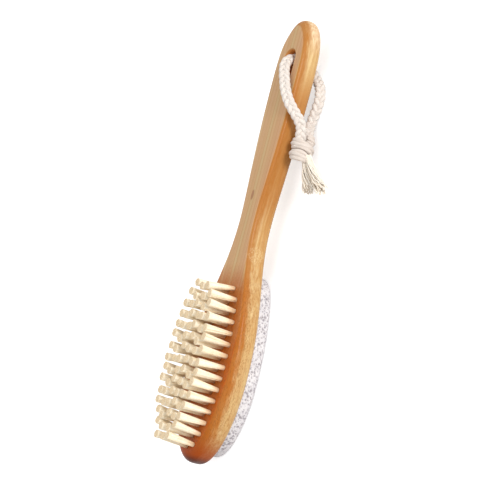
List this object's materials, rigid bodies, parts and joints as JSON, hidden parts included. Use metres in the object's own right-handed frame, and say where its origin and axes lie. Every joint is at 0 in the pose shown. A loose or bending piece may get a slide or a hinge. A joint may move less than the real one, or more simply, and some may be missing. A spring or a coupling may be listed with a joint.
{
  "type": "foot file",
  "caption": "Two-sided foot file: waisted bamboo body with a field of bristle tufts on one face, an oval pumice stone in the other and a knotted cotton hanging loop.",
  "frame": {"origin": "on the flat face of the pumice that the brush lies on, under the middle of the wooden body", "axes": "+X from the head to the handle's end, +Y across the brush, +Z from the pumice up through the body to the bristle tips"},
  "size_m": [0.255, 0.0649, 0.0387],
  "materials": {
    "bamboo": "satin lacquer",
    "plant_bristle": "matt fibre",
    "pumice": "rough, porous",
    "adhesive": "cured glue",
    "cotton_cord": "matt plait"
  },
  "bodies": {
    "brush": {"wooden_body": "bamboo", "bristle_row_01": "plant_bristle", "bristle_row_02": "plant_bristle", "bristle_row_03": "plant_bristle", "bristle_row_04": "plant_bristle", "bristle_row_05": "plant_bristle", "bristle_row_06": "plant_bristle", "bristle_row_07": "plant_bristle", "bristle_row_08": "plant_bristle", "bristle_row_09": "plant_bristle", "bristle_row_10": "plant_bristle", "bristle_row_11": "plant_bristle", "bristle_row_12": "plant_bristle", "bristle_row_13": "plant_bristle", "bristle_row_14": "plant_bristle", "bristle_row_15": "plant_bristle", "pumice_stone": "pumice", "pumice_adhesive": "adhesive"},
    "hanging_loop": {"cord_loop": "cotton_cord", "cord_knot": "cotton_cord", "cord_tail_1": "cotton_cord", "cord_tail_2": "cotton_cord"}
  },
  "joints": [
    {"name": "loop_swing", "type": "hinge", "parent": "brush", "child": "hanging_loop", "pos_m": [0.1035, 0, 0.0145], "axis": [0, 0, 1], "range_deg": [0, 290]}
  ]
}
